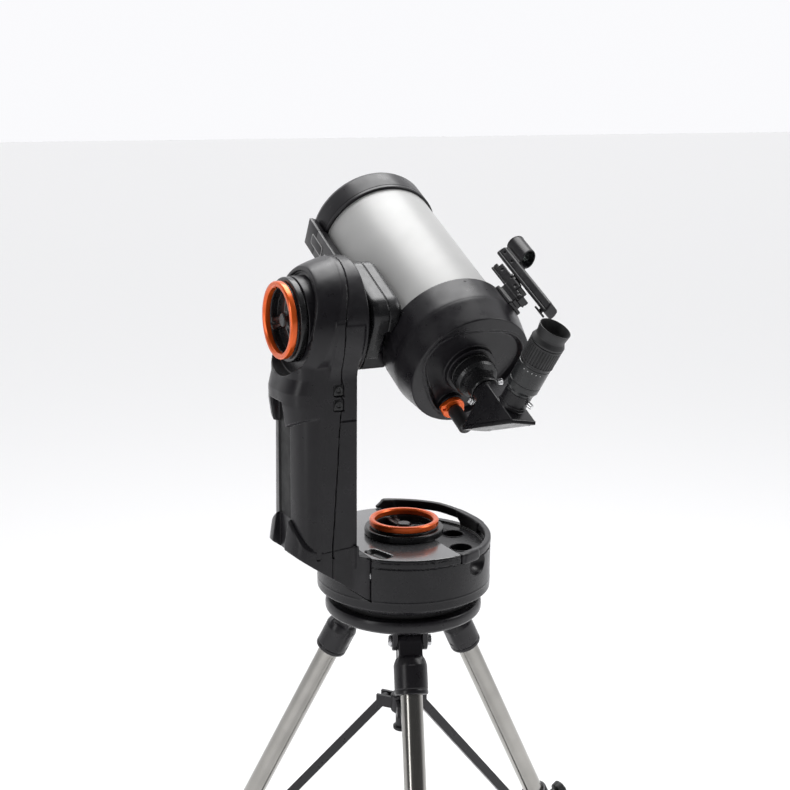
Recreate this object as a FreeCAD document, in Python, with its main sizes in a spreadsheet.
import FreeCAD, Part
import math
import os
import Sketcher

# A compound catadioptric telescope on a single-arm, motor-driven altazimuth mount and a folding tripod.
# Row frame: millimetres, +Z up, origin on the azimuth axis at floor level.
# The fork arm stands on the -X side, the altitude axis runs along X, and the optical tube points towards +Y.

Vector, Rotation, Placement = FreeCAD.Vector, FreeCAD.Rotation, FreeCAD.Placement
X, Y, Z = Vector(1, 0, 0), Vector(0, 1, 0), Vector(0, 0, 1)

doc = FreeCAD.newDocument("telescope")
sheet = doc.addObject("Spreadsheet::Sheet", "dims")


class Size:
    """A driving dimension or a sum of them: its value, and the expression that binds a property to it."""

    def __init__(self, value, text):
        self.value = value
        self.text = text

    def __add__(self, other):
        other = as_size(other)
        return Size(self.value + other.value, f"({self.text} + {other.text})")

    def __radd__(self, other):
        return as_size(other) + self

    def __sub__(self, other):
        other = as_size(other)
        return Size(self.value - other.value, f"({self.text} - {other.text})")

    def __rsub__(self, other):
        return as_size(other) - self

    def __mul__(self, other):
        other = as_size(other)
        return Size(self.value * other.value, f"({self.text} * {other.text})")

    def __rmul__(self, other):
        return as_size(other) * self

    def __truediv__(self, other):
        other = as_size(other)
        return Size(self.value / other.value, f"({self.text} / {other.text})")

    def __neg__(self):
        return Size(-self.value, f"(0 - {self.text})")


def as_size(number):
    return number if isinstance(number, Size) else Size(float(number), f"({float(number)})")


def dim(alias, value):
    """Writes one driving dimension into the sheet and returns it as a Size."""
    dim.row += 1
    sheet.set(f"A{dim.row}", alias)
    sheet.set(f"B{dim.row}", str(value))
    sheet.setAlias(f"B{dim.row}", alias)
    return Size(float(value), f"dims.{alias}")


dim.row = 0

# Heights above the floor, and the two main axes.
deck_top = dim("deck_top", 796.5)
alt_height = dim("alt_height", 1133.1)
ota_x = dim("ota_x", 35.9)
ota_tilt = dim("ota_tilt", 27.62)
fit_gap = dim("fit_gap", 0.3)
pin_gap = dim("pin_gap", 0.06)

# Tripod.
head_top = dim("head_top", 698.5)
head_thick = dim("head_thick", 20.5)
head_rad = dim("head_rad", 118)
hinge_rad = dim("hinge_rad", 88)
hinge_height = dim("hinge_height", 660)
hinge_pin_rad = dim("hinge_pin_rad", 5)
first_leg_angle = dim("first_leg_angle", 21.25)
leg_tilt = dim("leg_tilt", 27)
tongue_wide = dim("tongue_wide", 35)
tongue_rad = dim("tongue_rad", 14)
ear_thick = dim("ear_thick", 8)
sleeve_rad = dim("sleeve_rad", 24.5)
sleeve_start = dim("sleeve_start", 24)
sleeve_end = dim("sleeve_end", 78)
leg_tube_rad = dim("leg_tube_rad", 15.9)
leg_tube_wall = dim("leg_tube_wall", 1.6)
leg_tube_end = dim("leg_tube_end", 450)
collar_start = dim("collar_start", 418)
collar_end = dim("collar_end", 478)
collar_rad = dim("collar_rad", 22)
lower_tube_rad = dim("lower_tube_rad", 14)
lower_tube_start = dim("lower_tube_start", 60)
leg_length = dim("leg_length", 741)
foot_rad = dim("foot_rad", 17)
brace_depth = dim("brace_depth", 448)
brace_offset = dim("brace_offset", 33)
brace_length = dim("brace_length", 361)
brace_slope = dim("brace_slope", 50)
post_rad = dim("post_rad", 10)

# Mount base.
base_rad = dim("base_rad", 130)
base_low = dim("base_low", 708.3)
base_shoulder = dim("base_shoulder", 732)
base_foot_rad = dim("base_foot_rad", 114)
base_wall = dim("base_wall", 4)
tray_top = dim("tray_top", 780)
tray_edge_x = dim("tray_edge_x", 27)
pocket_rad = dim("pocket_rad", 16.4)
plate_rad = dim("plate_rad", 105)
handle_top = dim("handle_top", 812)
handle_high = dim("handle_high", 14)
handle_thick = dim("handle_thick", 9)
azimuth_gear_rad = dim("azimuth_gear_rad", 70)
power_angle = dim("power_angle", 106)
power_height = dim("power_height", 757)
inlet_angle = dim("inlet_angle", 117)

# Clutch knobs.
azimuth_ring_rad = dim("azimuth_ring_rad", 52)
altitude_ring_rad = dim("altitude_ring_rad", 54.6)
ring_thick = dim("ring_thick", 9.5)
azimuth_collar_rad = dim("azimuth_collar_rad", 59.3)
altitude_collar_rad = dim("altitude_collar_rad", 59.6)
collar_high = dim("collar_high", 11)
knob_shaft_rad = dim("knob_shaft_rad", 8)

# Fork arm.
arm_inner_x = dim("arm_inner_x", -107)
arm_corner_x = dim("arm_corner_x", -165)
arm_outer_x = dim("arm_outer_x", -205)
arm_seam_x = dim("arm_seam_x", -138)
arm_half_wide = dim("arm_half_wide", 62)
arm_head_x = dim("arm_head_x", -100)
arm_head_rad = dim("arm_head_rad", 86)
arm_neck_height = dim("arm_neck_height", 1053)
arm_ridge_x = dim("arm_ridge_x", -148)
arm_dome_x = dim("arm_dome_x", -168)
arm_dome_rad = dim("arm_dome_rad", 66)
dish_rad = dim("dish_rad", 77)
dish_x = dim("dish_x", -178.6)
arm_wall = dim("arm_wall", 4)

# Optical tube, measured along its axis from the altitude axis.
tube_rad = dim("tube_rad", 91)
tube_wall = dim("tube_wall", 1.5)
front_cell_rear = dim("front_cell_rear", 182.5)
front_cell_front = dim("front_cell_front", 228)
front_cell_rad = dim("front_cell_rad", 95)
rear_cell_front = dim("rear_cell_front", -61.9)
rear_cell_bend = dim("rear_cell_bend", -106.2)
rear_cell_back = dim("rear_cell_back", -145.6)
rear_cell_rad = dim("rear_cell_rad", 98.5)
rear_face_rad = dim("rear_face_rad", 89.8)
cell_wall = dim("cell_wall", 5)
focal_hole_rad = dim("focal_hole_rad", 20)
barrel_rad = dim("barrel_rad", 15.87)
hub_rad = dim("hub_rad", 54)
focus_x = dim("focus_x", -14)
focus_up = dim("focus_up", -62)
finder_angle = dim("finder_angle", 45)
bar_outer = dim("bar_outer", -107.9)
bar_half_wide = dim("bar_half_wide", 22)
diagonal_roll = dim("diagonal_roll", 12)
mirror_s = dim("mirror_s", -248)

doc.recompute()


# --- helpers -------------------------------------------------------------------------------------------

counter = [0]


def unnamed(kind):
    counter[0] += 1
    return doc.addObject(kind, f"step_{counter[0]}")


def number(size):
    return as_size(size).value


def point(x, y, z):
    return Vector(number(x), number(y), number(z))


def along(axis):
    """The rotation that turns +Z to the given direction."""
    return Rotation(Z, axis)


def cylinder(radius, height, at=(0, 0, 0), axis=Z):
    solid = unnamed("Part::Cylinder")
    solid.setExpression("Radius", as_size(radius).text)
    solid.setExpression("Height", as_size(height).text)
    solid.Placement = Placement(point(*at), along(axis))
    return solid


def cone(low_radius, high_radius, height, at=(0, 0, 0), axis=Z):
    solid = unnamed("Part::Cone")
    solid.setExpression("Radius1", as_size(low_radius).text)
    solid.setExpression("Radius2", as_size(high_radius).text)
    solid.setExpression("Height", as_size(height).text)
    solid.Placement = Placement(point(*at), along(axis))
    return solid


def sphere(radius, at=(0, 0, 0)):
    solid = unnamed("Part::Sphere")
    solid.setExpression("Radius", as_size(radius).text)
    solid.Placement = Placement(point(*at), Rotation())
    return solid


def box(low, high):
    """A box between two corners, each a triple of sizes."""
    solid = unnamed("Part::Box")
    for side, start, end in zip(("Length", "Width", "Height"), low, high):
        solid.setExpression(side, (as_size(end) - start).text)
    solid.Placement = Placement(point(*low), Rotation())
    return solid


def ring(outer, inner, height, at=(0, 0, 0), axis=Z):
    start = Vector(*point(*at))
    bore_at = start - axis * 1.0
    return cut(
        cylinder(outer, height, at, axis),
        cylinder(inner, as_size(height) + 2, tuple(bore_at), axis),
    )


def turned_by(solid, axis, degrees, centre=(0, 0, 0)):
    """Turns a step about an axis through a centre, in place."""
    turn = Placement(Vector(), Rotation(axis, number(degrees)), point(*centre))
    solid.Placement = turn.multiply(solid.Placement)
    return solid


def moved(solid, place):
    solid.Placement = place.multiply(solid.Placement)
    return solid


def fuse(*solids):
    joined = unnamed("Part::MultiFuse")
    joined.Shapes = list(solids)
    joined.Refine = True
    return joined


def common(first, second):
    shared = unnamed("Part::MultiCommon")
    shared.Shapes = [first, second]
    return shared


def cut(solid, *tools):
    removed = unnamed("Part::Cut")
    removed.Base = solid
    removed.Tool = tools[0] if len(tools) == 1 else fuse(*tools)
    removed.Refine = True
    return removed


def group(*solids):
    together = unnamed("Part::Compound")
    together.Links = list(solids)
    return together


def rounded(solid, radius, picks):
    """Fillets the edges whose index is picked by a test on the edge's centre and length."""
    doc.recompute()
    edges = [
        (index + 1, number(radius), number(radius))
        for index, edge in enumerate(solid.Shape.Edges)
        if picks(edge)
    ]
    fillet = unnamed("Part::Fillet")
    fillet.Base = solid
    fillet.Edges = edges
    return fillet


def plane_of(body, role):
    return [f for f in body.Origin.OriginFeatures if f.Role == role][0]


def outline_sketch(body, role, points):
    """A closed outline whose corners are each held by two distances bound to the sheet."""
    sketch = body.newObject("Sketcher::SketchObject", f"outline_{counter[0]}")
    sketch.AttachmentSupport = [(plane_of(body, role), "")]
    sketch.MapMode = "FlatFace"
    corners = [Vector(number(a), number(b), 0) for a, b in points]
    count = len(corners)
    for i in range(count):
        sketch.addGeometry(Part.LineSegment(corners[i], corners[(i + 1) % count]), False)
    for i in range(count):
        sketch.addConstraint(Sketcher.Constraint("Coincident", i, 2, (i + 1) % count, 1))
    for i, pair in enumerate(points):
        for kind, axis_id, size in (("DistanceX", -2, pair[0]), ("DistanceY", -1, pair[1])):
            if abs(number(size)) < 1e-9:
                sketch.addConstraint(Sketcher.Constraint("PointOnObject", i, 1, axis_id))
            else:
                held = sketch.addConstraint(Sketcher.Constraint(kind, -1, 1, i, 1, number(size)))
                sketch.setExpression(f"Constraints[{held}]", as_size(size).text)
    return sketch


def turned(points):
    """A turned piece: an outline of (radius, height) corners revolved about its own Z axis."""
    counter[0] += 1
    body = doc.addObject("PartDesign::Body", f"body_{counter[0]}")
    sketch = outline_sketch(body, "XZ_Plane", points)
    spin = body.newObject("PartDesign::Revolution", f"turn_{counter[0]}")
    spin.Profile = sketch
    spin.ReferenceAxis = (sketch, ["V_Axis"])
    spin.Angle = 360
    body.Tip = spin
    return body


def padded(points, role, start, end):
    """A plate: an outline on an origin plane, padded from one distance to another along its normal."""
    counter[0] += 1
    body = doc.addObject("PartDesign::Body", f"body_{counter[0]}")
    sketch = outline_sketch(body, role, points)
    pad = body.newObject("PartDesign::Pad", f"pad_{counter[0]}")
    pad.Profile = sketch
    pad.setExpression("Length", (as_size(end) - start).text)
    body.Tip = pad
    normal = {"XY_Plane": Z, "XZ_Plane": -Y, "YZ_Plane": X}[role]
    body.Placement = Placement(normal * number(start), Rotation())
    return body


parts = {}


def piece(name, solid, place=None):
    """Names a finished sub-part and sets it in the row frame."""
    solid.Label = name
    if place is not None:
        solid.Placement = place.multiply(solid.Placement)
    parts[name] = solid


def ota(x=0, up=0, s=0):
    """Placement of a piece on the optical tube: local +Z runs forward along the axis, local -Y is up."""
    frame = Placement(point(ota_x, 0, alt_height), Rotation(X, -(90 - number(ota_tilt))))
    return frame.multiply(Placement(point(x, -as_size(up), s), Rotation()))


def leg_frame(k):
    """Placement of leg k: origin at its hinge, local -Z down the leg, local +X outward."""
    heading = -90 - (number(first_leg_angle) + 120 * k)
    spin = Rotation(Z, heading)
    hinge = spin.multVec(point(hinge_rad, 0, 0)) + point(0, 0, hinge_height)
    return Placement(hinge, spin.multiply(Rotation(Y, -number(leg_tilt))))


def leg_heading(k):
    """Placement about the azimuth axis that turns +X to the heading of leg k."""
    return Placement(Vector(), Rotation(Z, -90 - (number(first_leg_angle) + 120 * k)))


# --- tripod --------------------------------------------------------------------------------------------

EAR_GAP = tongue_wide / 2 + fit_gap
LEGS = (0, 1, 2)


def hinge_ears(k):
    """The two ears under the head that hold one leg's tongue."""
    ears = []
    for side in (-1, 1):
        inner = EAR_GAP if side > 0 else -(EAR_GAP + ear_thick)
        low = (hinge_rad - 18, inner, hinge_height)
        high = (hinge_rad + 16, inner + ear_thick, head_top - head_thick + 1)
        web = box(low, high)
        eye = cylinder(14, ear_thick, (hinge_rad, inner + ear_thick, hinge_height), Vector(0, -1, 0))
        ears += [moved(web, leg_heading(k)), moved(eye, leg_heading(k))]
    return ears


def tripod_head():
    top, low, rim = head_top, head_top - head_thick, head_rad
    disc = turned(
        [
            (0, low - 8), (48, low - 8), (52, low), (rim - 10, low), (rim - 3, low + 4),
            (rim, low + 10), (rim - 1, top - 4), (rim - 6, top), (0, top),
        ]
    )
    post = turned([(0, 478), (14, 478), (14, 484), (post_rad, 484), (post_rad, low), (0, low)])
    body = fuse(disc, post, *[ear for k in LEGS for ear in hinge_ears(k)])
    bores = [
        moved(
            cylinder(hinge_pin_rad, 70, (hinge_rad, 35, hinge_height), Vector(0, -1, 0)), leg_heading(k)
        )
        for k in LEGS
    ]
    piece("tripod_head", cut(body, *bores))


def hinge_bolts():
    """Three bolts, each with a domed head and a nut outside the ears."""
    bolts = []
    reach = EAR_GAP + ear_thick
    for k in LEGS:
        shank = cylinder(hinge_pin_rad, reach * 2, (hinge_rad, reach, hinge_height), Vector(0, -1, 0))
        head = cone(8.5, 7, 6, (hinge_rad, reach, hinge_height), Y)
        nut = cylinder(8, 6, (hinge_rad, -reach, hinge_height), Vector(0, -1, 0))
        bolts.append(moved(fuse(shank, head, nut), leg_heading(k)))
    piece("hinge_bolts", group(*bolts))


def leg(k):
    place = leg_frame(k)
    tongue = fuse(
        cylinder(tongue_rad, tongue_wide, (0, tongue_wide / 2, 0), Vector(0, -1, 0)),
        box((-tongue_rad, -tongue_wide / 2, -sleeve_start - 4), (tongue_rad, tongue_wide / 2, 0)),
        turned(
            [
                (0, -sleeve_end), (sleeve_rad - 4, -sleeve_end), (sleeve_rad, -sleeve_end + 4),
                (sleeve_rad, -sleeve_start - 3), (sleeve_rad - 3, -sleeve_start), (0, -sleeve_start),
            ]
        ),
    )
    pivot = cylinder(hinge_pin_rad + pin_gap, 60, (0, 30, 0), Vector(0, -1, 0))
    socket = cylinder(leg_tube_rad, 60, (0, 0, -sleeve_end - 10))
    piece(f"leg_sleeve_{k + 1}", cut(tongue, pivot, socket), place)

    tube_top = -sleeve_end + 50
    tube = ring(leg_tube_rad, leg_tube_rad - leg_tube_wall, leg_tube_end + tube_top, (0, 0, -leg_tube_end))
    piece(f"leg_tube_{k + 1}", tube, place)

    outer = turned(
        [
            (0, -collar_end), (collar_rad - 3, -collar_end), (collar_rad, -collar_end + 5),
            (collar_rad, -collar_start - 5), (collar_rad - 3, -collar_start), (0, -collar_start),
        ]
    )
    boss = cylinder(9, 30, (6, 0, -collar_end + 18), X)
    lug = box((-brace_offset - 9, -4, -brace_depth - 9), (-10, 4, -brace_depth + 9))
    lug_bore = cylinder(3, 20, (-brace_offset, 10, -brace_depth), Vector(0, -1, 0))
    upper_bore = cylinder(leg_tube_rad, 60, (0, 0, -leg_tube_end))
    lower_bore = cylinder(lower_tube_rad + fit_gap, 90, (0, 0, -collar_end - 5))
    screw_bore = cylinder(4 + pin_gap, 40, (8, 0, -collar_end + 18), X)
    collar = cut(fuse(outer, boss, lug), lug_bore, upper_bore, lower_bore, screw_bore)
    piece(f"leg_collar_{k + 1}", collar, place)

    grip = fuse(
        cylinder(13, 15, (37, 0, -collar_end + 18), X),
        cylinder(4, 22, (15.5, 0, -collar_end + 18), X),
    )
    notches = []
    for i in range(6):
        groove = cylinder(4, 17, (36.5, 14, -collar_end + 18), X)
        notches.append(turned_by(groove, X, 60 * i, (0, 0, -collar_end + 18)))
    piece(f"leg_knob_{k + 1}", cut(grip, *notches), place)

    inner = ring(
        lower_tube_rad, lower_tube_rad - 1.5, leg_length - 22 - lower_tube_start, (0, 0, -leg_length + 22)
    )
    foot = foot_of_leg()
    piece(f"leg_lower_{k + 1}", group(inner, foot), place)


def foot_of_leg():
    """The rubber foot, cut level with the floor while the leg stands at its spread angle."""
    shoe = turned(
        [
            (0, -leg_length - 12), (foot_rad, -leg_length - 12), (foot_rad, -leg_length + 24),
            (foot_rad - 3, -leg_length + 30), (0, -leg_length + 30),
        ]
    )
    socket = cylinder(lower_tube_rad, 60, (0, 0, -leg_length + 22))
    below_floor = box((-80, -40, -hinge_height - 60), (420, 40, -hinge_height))
    moved(below_floor, Placement(Vector(), Rotation(Y, number(leg_tilt))))
    return cut(shoe, socket, below_floor)


def brace_arm(k):
    """A flat strut from the leg's collar up to the ears of the runner."""
    bar = box((0, -5, -7), (brace_length, 5, 7))
    outer_eye = cylinder(9, 22, (0, 11, 0), Vector(0, -1, 0))
    inner_eye = cylinder(8, 10, (brace_length, 5, 0), Vector(0, -1, 0))
    slot = box((-12, -4 - fit_gap, -14), (14, 4 + fit_gap, 14))
    pin = cylinder(3 - pin_gap, 22, (0, 11, 0), Vector(0, -1, 0))
    strut = fuse(cut(fuse(bar, outer_eye, inner_eye), slot), pin)
    pivot = leg_frame(k).multVec(point(-brace_offset, 0, -brace_depth))
    heading = -90 - (number(first_leg_angle) + 120 * k)
    turn = Rotation(Z, heading + 180).multiply(Rotation(Y, -number(brace_slope)))
    piece(f"brace_arm_{k + 1}", strut, Placement(pivot, turn))
    return turn.multVec(point(brace_length, 0, 0)) + pivot


def brace_runner(arm_end):
    """The runner on the centre post: three pairs of ears stand beside the ends of the brace arms."""
    reach = math.hypot(arm_end.x, arm_end.y)
    level = arm_end.z
    runner = turned(
        [
            (0, level - 14), (16, level - 14), (17.5, level - 12), (17.5, level + 12), (16, level + 14),
            (0, level + 14),
        ]
    )
    ears = []
    for k in LEGS:
        for side in (-1, 1):
            low = (9, side * 9 - 2.5, level - 9)
            high = (reach + 9, side * 9 + 2.5, level + 9)
            ears.append(moved(box(low, high), leg_heading(k)))
    bore = cylinder(post_rad + pin_gap, 40, (0, 0, level - 20))
    piece("brace_runner", cut(fuse(runner, *ears), bore))


# --- mount base ----------------------------------------------------------------------------------------


def base_plate():
    """The fixed plate that bolts to the tripod head, with the post that the mount turns on."""
    plate = turned(
        [
            (0, head_top), (plate_rad, head_top), (plate_rad, head_top + 9.5), (60, head_top + 9.5),
            (60, head_top + 14), (20, head_top + 14), (20, head_top + 52), (0, head_top + 52),
        ]
    )
    piece("base_plate", plate)


def azimuth_gear():
    """The worm wheel, fixed on the base plate's post."""
    teeth = 60
    low = head_top + 16
    blank = ring(azimuth_gear_rad, 20, 8, (0, 0, low))
    gaps = []
    for i in range(teeth):
        notch = box((azimuth_gear_rad - 3, -1.8, low - 1), (azimuth_gear_rad + 2, 1.8, low + 9))
        gaps.append(turned_by(notch, Z, 360 / teeth * i))
    piece("azimuth_gear", cut(blank, *gaps))


def base_body():
    """The turning drum with its deck, its lower tray with two eyepiece pockets, and the arm's foot block."""
    shell = turned(
        [
            (0, base_low), (base_foot_rad - 2, base_low), (base_foot_rad, base_low + 2),
            (base_rad, base_shoulder), (base_rad, deck_top - 3), (base_rad - 3, deck_top), (0, deck_top),
        ]
    )
    block = padded(
        [
            (-96, -83), (-96, 83), (arm_corner_x, arm_half_wide + 3), (arm_outer_x + 12, 44),
            (arm_outer_x, 20), (arm_outer_x, -20), (arm_outer_x + 12, -44),
            (arm_corner_x, -arm_half_wide - 3),
        ],
        "XY_Plane", base_shoulder, deck_top,
    )
    under = box((-170, -100, 0), (150, 100, 80))
    under.Placement = Placement(
        point(-88, 0, base_shoulder - 2), Rotation(Y, 25)
    ).multiply(Placement(Vector(-170, -100, -80), Rotation()))
    block = cut(block, under)
    lowered = box((tray_edge_x, -140, tray_top), (140, 140, deck_top + 5))
    outside = cut(fuse(shell, block), lowered)
    hollow = turned(
        [
            (0, base_low - 1), (base_foot_rad - base_wall, base_low - 1), (base_foot_rad - base_wall, base_low + 3),
            (base_rad - base_wall, base_shoulder + 1), (base_rad - base_wall, deck_top - 8), (0, deck_top - 8),
        ]
    )
    tray_roof = box((tray_edge_x - 5, -140, tray_top - 6), (140, 140, deck_top + 5))
    cavity = cut(hollow, tray_roof)
    pockets = [(86.9, 4.6), (66.8, -56.6)]
    cups = [cylinder(pocket_rad + 3, 40, (x, y, tray_top - 40)) for x, y in pockets]
    wells = [cylinder(pocket_rad, 37, (x, y, tray_top - 36)) for x, y in pockets]
    bearing = ring(26, 20 + fit_gap, 30, (0, 0, head_top + 26))
    deck_bore = cylinder(knob_shaft_rad + pin_gap, 60, (0, 0, deck_top - 40))
    hanger = ring(14, knob_shaft_rad + pin_gap, 16, (0, 0, deck_top - 22))
    spokes = [
        turned_by(box((22, -3, head_top + 44), (62, 3, deck_top - 7)), Z, 90 + 120 * i) for i in range(3)
    ]
    web = ring(66, 60, deck_top - 7 - (head_top + 44), (0, 0, head_top + 44))
    button_place = Placement(Vector(), Rotation(Z, number(power_angle)))
    button_boss = moved(cylinder(10, 4.5, (123, 0, power_height), X), button_place)
    button_bore = moved(cylinder(5 + pin_gap, 20, (120, 0, power_height), X), button_place)
    inlet_place = Placement(Vector(), Rotation(Z, number(inlet_angle)))
    inlet_bore = moved(cylinder(5.5, 20, (120, 0, power_height), X), inlet_place)
    body = cut(outside, cavity)
    body = fuse(body, bearing, hanger, web, button_boss, *spokes, *cups)
    trim = box((tray_edge_x, -140, tray_top), (140, 140, deck_top + 5))
    piece("base_body", cut(body, deck_bore, trim, button_bore, inlet_bore, *wells))


def power_button():
    """The push button in the drum's wall, with the flange that keeps it in."""
    cap = cylinder(5, 11.5, (121, 0, power_height), X)
    flange = cylinder(6.5, 1.7, (121, 0, power_height), X)
    piece("power_button", fuse(cap, flange), Placement(Vector(), Rotation(Z, number(power_angle))))


def carry_handle():
    """A curved grip that runs from the back of the deck round the +X side to the front of the tray."""
    outer = base_rad + 1
    band = ring(outer, outer - handle_thick, handle_high, (0, 0, handle_top - handle_high))
    arc = common(band, box((22, -140, handle_top - 60), (140, 140, handle_top + 1)))
    post_height = handle_top - tray_top
    post_band = ring(outer, outer - handle_thick, post_height, (0, 0, tray_top))
    posts = common(
        post_band,
        fuse(
            box((tray_edge_x, 100, tray_top - 1), (42, 140, handle_top)),
            box((30, -140, tray_top - 1), (58, -90, handle_top)),
            box((100, -12, tray_top - 1), (132, 37, handle_top)),
        ),
    )
    piece("carry_handle", fuse(arc, posts))


def arm_outline(low):
    """Half-width against height: a straight column that widens into the round head."""
    tangent = 20
    return [
        (-arm_half_wide, low), (arm_half_wide, low), (arm_half_wide, arm_neck_height),
        (arm_head_rad - 2, alt_height - tangent), (0, alt_height), (-(arm_head_rad - 2), alt_height - tangent),
        (-arm_half_wide, arm_neck_height),
    ]


def arm_shells():
    """The hollow arm, moulded as an inner and an outer half that meet at the seam."""
    low = deck_top
    column_in = padded(arm_outline(low), "YZ_Plane", arm_seam_x, arm_inner_x)
    head_in = cylinder(arm_head_rad, arm_head_x - arm_seam_x, (arm_seam_x, 0, alt_height), X)
    hollow_in = box(
        (arm_seam_x - 1, -arm_half_wide + arm_wall, low + arm_wall),
        (arm_inner_x - arm_wall, arm_half_wide - arm_wall, arm_neck_height - 4),
    )
    round_in = cylinder(
        arm_head_rad - arm_wall, arm_head_x - arm_seam_x - arm_wall + 1, (arm_seam_x - 1, 0, alt_height), X
    )
    shaft_bore = cylinder(26 + fit_gap, 80, (arm_seam_x - 2, 0, alt_height), X)
    inner = cut(fuse(column_in, head_in), hollow_in, round_in, shaft_bore)
    piece("arm_inner_shell", inner)

    column_out = padded(arm_outline(low), "YZ_Plane", arm_outer_x, arm_seam_x)
    sagitta = arm_corner_x.value - arm_outer_x.value
    half = arm_half_wide.value
    bulge = (half * half + sagitta * sagitta) / (2 * sagitta)
    barrel = cylinder(bulge, 500, (arm_outer_x.value + bulge, 0, low - 1))
    slope = box((-60, -100, 0), (0, 100, 200))
    slope.Placement = Placement(point(arm_outer_x, 0, arm_neck_height), Rotation(Y, 13))
    dish = cylinder(dish_rad, 40, (dish_x, 0, alt_height), Vector(-1, 0, 0))
    column_out = cut(common(column_out, barrel), slope, dish)
    head_out = turned(
        [
            (0, -arm_seam_x), (arm_head_rad, -arm_seam_x), (arm_head_rad - 1, -arm_ridge_x),
            (arm_dome_rad + 8, -arm_dome_x - 4), (arm_dome_rad, -arm_dome_x), (60.5, -arm_dome_x),
            (60.5, -dish_x), (0, -dish_x),
        ]
    )
    head_out.Placement = Placement(point(0, 0, alt_height), along(Vector(-1, 0, 0)))
    hollow_out = box(
        (arm_corner_x + arm_wall + 2, -arm_half_wide + arm_wall, low + arm_wall),
        (arm_seam_x + 1, arm_half_wide - arm_wall, arm_neck_height - 4),
    )
    crown_out = box(
        (arm_outer_x + 8, -30, low + arm_wall), (arm_corner_x + arm_wall, 30, arm_neck_height - 14)
    )
    round_out = cylinder(arm_dome_rad - 2, 24, (arm_seam_x - 23, 0, alt_height), X)
    knob_bore = cylinder(knob_shaft_rad + pin_gap, 80, (-190, 0, alt_height), X)
    sockets = [
        box((-143.5, -arm_half_wide - 5, 820 + z), (-127.5 - 9.2, -arm_half_wide + 6, 820 + z + 16.5))
        for z in (190, 210.5)
    ]
    outer = cut(fuse(column_out, head_out), hollow_out, crown_out, round_out, knob_bore, *sockets)
    piece("arm_outer_shell", outer)


def electrical_sockets():
    """Two square auxiliary jacks in the arm's edge, and the round power inlet in the base's block."""
    jacks = []
    for z in (190, 210.5):
        shell = box((-143.5, -arm_half_wide, 820 + z), (arm_seam_x, -arm_half_wide + 6, 820 + z + 16.5))
        port = cylinder(3, 5, (-140, -arm_half_wide - 0.5, 820 + z + 8.25), Y)
        jacks.append(cut(shell, port))
    piece("sockets", group(*jacks))


def internals():
    pack = box((-134, -45, deck_top + 12), (-113, 45, deck_top + 150))
    piece("battery_pack", rounded(pack, 4, lambda e: e.Length > 100))
    tower = cylinder(16, 45, (-76, 44, 742))
    azimuth_drive = fuse(tower, cylinder(11, 10, (-76, 44, 734)))
    altitude_drive = fuse(
        cylinder(11.5, 60, (-124, 20, alt_height - 184)), cylinder(9, 8, (-124, 20, alt_height - 124))
    )
    piece("drive_motors", group(azimuth_drive, altitude_drive))


def worm(radius, length):
    """A worm: a shaft with a row of thread ridges."""
    ridges = [cylinder(radius, 2, (0, 0, 4 + 5 * i)) for i in range(int((length - 8) / 5))]
    return fuse(cylinder(radius - 2.5, length, (0, 0, 0)), *ridges)


def worms():
    azimuth_place = Placement(
        point(-(azimuth_gear_rad + 8.5), -21, head_top + 20), Rotation(Z, Y)
    )
    piece("azimuth_worm", worm(8, 42), azimuth_place)
    altitude_place = Placement(point(-126.5, 48.5, alt_height - 16), Rotation())
    piece("altitude_worm", worm(7, 32), altitude_place)


def clutch_knob(ring_radius, collar_radius, shaft_length):
    """A clutch knob: collar, dished centre, three spokes and shaft. Local +Z points out of the mount."""
    ring_z = collar_high + 3
    rim = ring_radius - 9
    dish = turned(
        [
            (0, -shaft_length), (knob_shaft_rad, -shaft_length), (knob_shaft_rad, 0), (collar_radius - 1, 0),
            (collar_radius, 1.5), (collar_radius, collar_high - 3), (collar_radius - 3.5, collar_high),
            (ring_radius - 3, collar_high), (ring_radius - 3, ring_z), (ring_radius - 3.5, ring_z),
            (rim, ring_z), (rim - 2, 4), (10, 4), (9, ring_z + 2), (0, ring_z + 2),
        ]
    )
    spokes = [
        turned_by(box((6, -4, 3), (rim - 0.5, 4, ring_z)), Z, 90 + 120 * i) for i in range(3)
    ]
    return fuse(dish, *spokes)


def clutch_ring(ring_radius):
    """The anodised grip ring that sits on a clutch knob."""
    low = collar_high + 3
    return turned(
        [
            (ring_radius - 9, low), (ring_radius - 1, low), (ring_radius, low + 1),
            (ring_radius, low + ring_thick - 1.5), (ring_radius - 1.5, low + ring_thick),
            (ring_radius - 7, low + ring_thick), (ring_radius - 9, low + ring_thick - 2.5),
        ]
    )


def clutches():
    over_deck = Placement(point(0, 0, deck_top + fit_gap), Rotation())
    piece("azimuth_knob", clutch_knob(azimuth_ring_rad, azimuth_collar_rad, as_size(30)), over_deck)
    piece("azimuth_ring", clutch_ring(azimuth_ring_rad), over_deck)
    beside_arm = Placement(point(-178.9, 0, alt_height), along(Vector(-1, 0, 0)))
    piece("altitude_knob", clutch_knob(altitude_ring_rad, altitude_collar_rad, as_size(26)), beside_arm)
    piece("altitude_ring", clutch_ring(altitude_ring_rad), beside_arm)


# --- optical tube --------------------------------------------------------------------------------------

UP = Vector(0, -1, 0)


def altitude_shaft():
    """The hub, its shaft through the arm's inner shell, and the altitude worm wheel on the shaft."""
    hub = cylinder(hub_rad, 6.2, (arm_head_x + 0.4, 0, alt_height), X)
    shaft = cylinder(26, 34, (arm_head_x - 33, 0, alt_height), X)
    wheel = cylinder(40, 7, (arm_head_x - 30, 0, alt_height), X)
    piece("altitude_shaft", fuse(hub, shaft, wheel))


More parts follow.
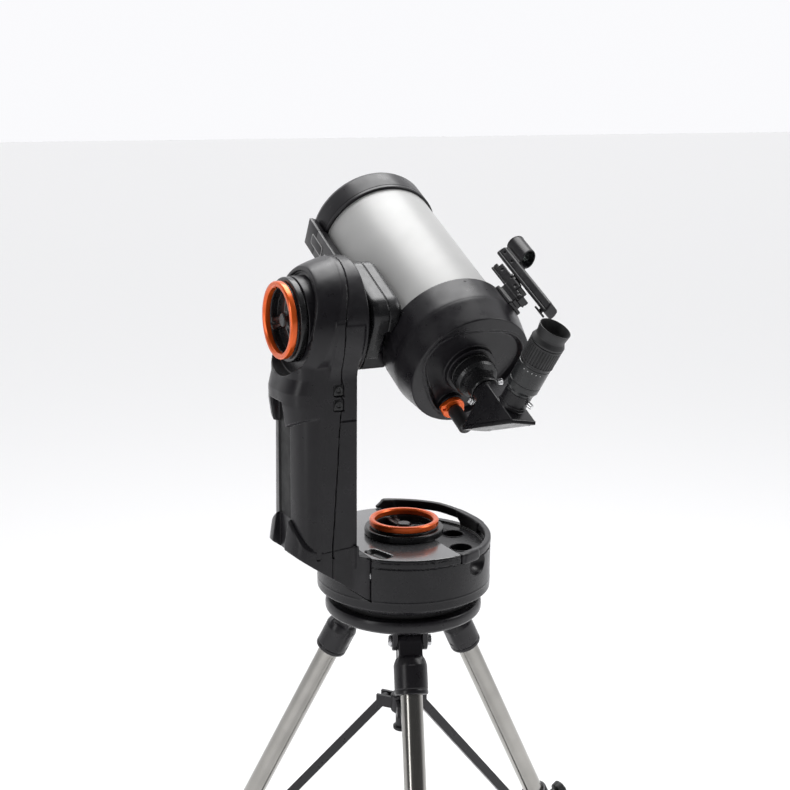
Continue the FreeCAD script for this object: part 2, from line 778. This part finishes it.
def clamp_parts():
    """Saddle, sliding jaw, clamp knob and dovetail bar, in the tube's own frame."""
    frame = ota()
    near, far = -93.4 - ota_x, -46 - ota_x
    screw_x = near + 10.8
    deep = number(far - near)
    block = rounded(box((near, -62, -74), (far, 60, 62)), 22, lambda edge: abs(edge.Length - deep) < 0.01)
    slot = box((bar_outer - fit_gap, -bar_half_wide - fit_gap, -90), (far + 5, bar_half_wide + 3, 90))
    jaw_room = box((near + 4, bar_half_wide, -90), (far + 5, 65, 90))
    tube_room = cylinder(tube_rad + 1.2, 400, (0, 0, -200))
    cell_room = cylinder(rear_cell_rad + 0.6, 60, (0, 0, rear_cell_front - 59.4))
    tapped = cylinder(4 + pin_gap, 40, (screw_x, -6, 0), Y)
    piece("saddle", cut(block, slot, jaw_room, tube_room, cell_room, tapped), frame)

    jaw = box((near + 4 + fit_gap, bar_half_wide + fit_gap, -58), (far - 0.6, 57, 50))
    jaw = rounded(jaw, 12, lambda edge: edge.Length > 40 and edge.Length < 44 and edge.CenterOfMass.y > 50)
    screw_bore = cylinder(4.4, 60, (screw_x, bar_half_wide - 2, 0), Y)
    piece("clamp_jaw", cut(jaw, screw_bore, cylinder(tube_rad + 1.2, 400, (0, 0, -200))), frame)
    shank = cylinder(4, 61, (screw_x, 0, 0), Y)
    grip = cylinder(15, 15, (screw_x, 60.5, 0), Y)
    flutes = []
    for i in range(6):
        flute = cylinder(4, 20, (screw_x + 16.5, 59, 0), Y)
        flutes.append(turned_by(flute, Y, 60 * i, (screw_x, 0, 0)))
    piece("saddle_knob", cut(fuse(shank, grip), *flutes), frame)

    bar = padded(
        [
            (bar_outer, -bar_half_wide), (bar_outer, bar_half_wide), (bar_outer + 4, bar_half_wide),
            (-92.5, bar_half_wide - 3.5), (-92.5, 3.5 - bar_half_wide), (bar_outer + 4, -bar_half_wide),
        ],
        "XY_Plane", -100, 217,
    )
    front_room = cylinder(front_cell_rad, 60, (0, 0, front_cell_rear))
    back_room = cylinder(rear_cell_rad, 60, (0, 0, rear_cell_front - 60))
    piece("dovetail_bar", cut(bar, front_room, back_room), frame)


def tube_parts():
    frame = ota()
    tube = ring(tube_rad, tube_rad - tube_wall, 280, (0, 0, -80))
    piece("main_tube", tube, frame)

    back, front, rim = front_cell_rear, front_cell_front, front_cell_rad
    cell = turned(
        [
            (tube_rad, back), (rim - 1, back), (rim, back + 1), (rim, front - 6), (rim - 3, front),
            (rim - 9, front), (rim - 10, front - 12), (84, front - 12), (84, 200), (tube_rad, 200),
        ]
    )
    piece("front_cell", cell, frame)

    plate = ring(83.9, 26, 4, (0, 0, 206))
    piece("corrector_plate", plate, frame)
    housing = turned(
        [
            (0, 188), (20, 188), (20, 192), (24, 196), (25.9, 205), (25.9, 212), (29, 212), (29, 217),
            (22, 222), (0, 222),
        ]
    )
    piece("secondary_mirror", housing, frame)

    wall = cell_wall
    cell = turned(
        [
            (focal_hole_rad, rear_cell_back), (rear_face_rad - 4, rear_cell_back),
            (rear_face_rad, rear_cell_back + 4), (rear_cell_rad, rear_cell_bend),
            (rear_cell_rad, rear_cell_front - 1), (rear_cell_rad - 1, rear_cell_front),
            (tube_rad, rear_cell_front), (tube_rad, -80), (tube_rad - 3, -80), (tube_rad - 3, -108),
            (rear_face_rad - wall, rear_cell_back + wall + 2), (focal_hole_rad, rear_cell_back + wall + 2),
        ]
    )
    lock_bore = cylinder(6.9 + pin_gap, 30, (focus_x, -focus_up, rear_cell_back - 5))
    piece("rear_cell", cut(cell, lock_bore), frame)

    baffle = ring(17, 15.5, 175, (0, 0, rear_cell_back + wall + 2))
    flange = ring(focal_hole_rad, 15.5, wall + 2, (0, 0, rear_cell_back))
    piece("baffle_tube", fuse(baffle, flange), frame)

    carrier = fuse(ring(24, 17 + fit_gap, 26, (0, 0, -124)), ring(50, 17 + fit_gap, 5, (0, 0, -112)))
    glass = ring(77, 24, 16, (0, 0, -107))
    piece("primary_mirror", fuse(carrier, glass), frame)


def visual_back():
    frame = ota()
    back = rear_cell_back
    body = turned(
        [
            (barrel_rad + 0.08, back), (31, back), (31, back - 18), (29, back - 22), (21, back - 23),
            (21, back - 44), (20, back - 45), (barrel_rad + 0.08, back - 45),
        ]
    )
    holes = [cylinder(2.5, 12, (0, 0, back - 34), a) for a in screw_axes()]
    bored = [moved(hole, Placement(a * 14, Rotation())) for hole, a in zip(holes, screw_axes())]
    piece("visual_back", cut(body, *bored), frame)
    screws = []
    for a in screw_axes():
        shank = cylinder(2.5, 12, tuple(a * 16.2 + Vector(0, 0, number(back) - 34)), a)
        head = cylinder(5, 8, tuple(a * 23 + Vector(0, 0, number(back) - 34)), a)
        screws.append(fuse(shank, head))
    piece("thumb_screws", group(*screws), frame)


def screw_axes():
    """The two thumb screws of the visual back, 120 degrees apart."""
    return [Vector(math.cos(math.radians(a)), math.sin(math.radians(a)), 0) for a in (-10, 110)]


def focuser():
    frame = ota()
    back = rear_cell_back
    flange = turned([(7.2, 0), (17, 0), (17, -3), (14, -7), (7.2, -7)])
    flange = moved(flange, Placement(point(focus_x, -focus_up, back), Rotation()))
    ear = cylinder(7, 6, (focus_x - 13, -focus_up + 2, back - 6))
    bore = cylinder(7.2, 12, (focus_x, -focus_up, back - 10))
    piece("focus_flange", cut(fuse(flange, ear), bore), frame)
    grip = turned(
        [
            (0, -50), (9, -50), (10.5, -48), (10.5, -12), (9.5, -8), (6.9, -8), (6.9, 16), (0, 16),
        ]
    )
    grooves = []
    for i in range(18):
        notch = box((9.7, -0.7, -46), (12, 0.7, -14))
        grooves.append(turned_by(notch, Z, 20 * i))
    knob = moved(cut(grip, *grooves), Placement(point(focus_x, -focus_up, back), Rotation()))
    piece("focus_knob", knob, frame)


def diagonal_frame():
    """The diagonal's frame: the tube's frame rolled about the optical axis."""
    return ota().multiply(Placement(Vector(), Rotation(Z, number(diagonal_roll))))


def star_diagonal():
    """The 90 degree diagonal: nose, wedge housing, cover plate, eyepiece collar and its clamp screw."""
    half, front, reach = 20, mirror_s + 43, 24
    wedge = padded(
        [(-reach, front), (-reach, mirror_s - 33), (52, front)], "YZ_Plane", -half, half,
    )
    plate = padded(
        [(-reach - 2, mirror_s - 31), (-reach - 6, mirror_s - 35), (50, front + 6), (54, front + 2)],
        "YZ_Plane", -half - 1, half + 1,
    )
    nose = cylinder(barrel_rad, 45, (0, 0, front))
    shoulder = cylinder(19, rear_cell_back - 45 - fit_gap - front, (0, 0, front))
    collar = cylinder(19, 24, (0, -reach, mirror_s), UP)
    light_in = cylinder(13.5, 90, (0, 0, mirror_s + 3))
    light_out = cylinder(13.5, 40, (0, 8, mirror_s), UP)
    pocket = cylinder(barrel_rad + 0.08, 30, (0, -reach - 2, mirror_s), UP)
    side = Vector(0.35, 0, -0.937)
    tapped = cylinder(2.5, 14, tuple(side * 12 + Vector(0, -40, number(mirror_s))), side)
    seat = cylinder(17.5, 5, (0, 2.9, mirror_s - 2.9), Vector(0, -1, 1))
    body = cut(fuse(wedge, plate, nose, shoulder, collar), light_in, light_out, pocket, tapped, seat)
    piece("star_diagonal", body, diagonal_frame())
    glass = cylinder(17.5, 4, (0, 0, mirror_s), Vector(0, -1, 1))
    glass = moved(glass, Placement(Vector(0, 2.83, -2.83), Rotation()))
    piece("diagonal_mirror", glass, diagonal_frame())


def eyepiece():
    """A zoom eyepiece: barrel, body and eyecup in one piece, and the zoom ring that turns on it."""
    seat = Placement(point(0, -48.3, mirror_s), along(UP))
    frame = diagonal_frame().multiply(seat)
    body = turned(
        [
            (0, -20), (barrel_rad, -20), (barrel_rad, 0), (19.5, 0), (20, 4), (22.3, 8), (22.3, 47),
            (18.5, 47), (18.5, 79), (23.5, 79), (23.8, 82), (22, 86), (20.5, 90), (22, 103), (20, 103),
            (17, 88), (12, 86), (0, 86),
        ]
    )
    piece("eyepiece_body", body, frame)
    grip = ring(23.4, 18.5 + fit_gap, 31.4, (0, 0, 47.3))
    ribs = [turned_by(box((22.7, -1, 50), (25, 1, 76)), Z, 15 * i) for i in range(24)]
    piece("zoom_ring", cut(grip, *ribs), frame)


def finder():
    """The red-dot finder: foot and bracket on the rear cell, tilting body with its hood, and switch wheel."""
    frame = ota().multiply(Placement(Vector(), Rotation(Z, number(finder_angle))))
    foot = box((-16, -103, -104), (16, -90, -63))
    stem = box((-10, -119, -100), (10, -100, -64))
    rail = box((-10, -116, -104), (10, -109, -22))
    ears = [box((-10, -128, -70), (-6.5, -117, -56)), box((6.5, -128, -70), (10, -117, -56))]
    pin_bore = cylinder(2 + pin_gap, 30, (-15, -124.5, -63), X)
    shoe_room = cylinder(rear_cell_rad, 80, (0, 0, -130))
    cradle = cut(box((-11, -126, -88), (11, -115, -30)), box((-6.6, -130, -72), (6.6, -114, -54)))
    bracket = cut(fuse(foot, stem, rail, cradle, *ears), shoe_room, pin_bore)
    piece("finder_bracket", bracket, frame)

    beam = rounded(box((-12, -145, -152), (12, -128.5, -6)), 3, lambda e: e.Length > 140)
    lug = box((-6.2, -130, -68), (6.2, -121.5, -58))
    pin = cylinder(2, 20, (-10, -124.5, -63), X)
    hood = ring(13.5, 11.8, 44, (0, -158.2, -50))
    saddle_pad = box((-9, -147, -49), (9, -144, -8))
    lens_room = cylinder(11.8, 60, (0, -158.2, -60))
    stem_bore = cylinder(3.5 + pin_gap, 6, (0, -132, -137), Y)
    body = cut(fuse(beam, lug, pin, hood, cut(saddle_pad, lens_room)), stem_bore)
    piece("finder_body", body, frame)
    wheel = fuse(cylinder(10, 3, (0, -126, -137), Y), cylinder(3.5, 6, (0, -131, -137), Y))
    piece("finder_switch", wheel, frame)


def build():
    tripod_head()
    hinge_bolts()
    for k in LEGS:
        leg(k)
    arm_end = [brace_arm(k) for k in LEGS][0]
    brace_runner(arm_end)
    base_plate()
    azimuth_gear()
    base_body()
    power_button()
    carry_handle()
    arm_shells()
    electrical_sockets()
    internals()
    worms()
    clutches()
    altitude_shaft()
    clamp_parts()
    tube_parts()
    visual_back()
    focuser()
    star_diagonal()
    eyepiece()
    finder()


def check_and_write():
    """Recomputes, checks every object and every sub-part's shape, and writes one STEP file per sub-part."""
    doc.recompute()
    failed = [o.Name for o in doc.Objects if "Invalid" in o.State or "Error" in o.State]
    if failed:
        raise RuntimeError(f"failed objects: {failed}")
    os.makedirs("parts", exist_ok=True)
    for name, solid in parts.items():
        shape = solid.Shape
        if shape.isNull() or not shape.isValid() or not shape.Solids:
            raise RuntimeError(f"{name} has no valid solid")
        shape.exportStep(f"parts/{name}.step")


build()
check_and_write()
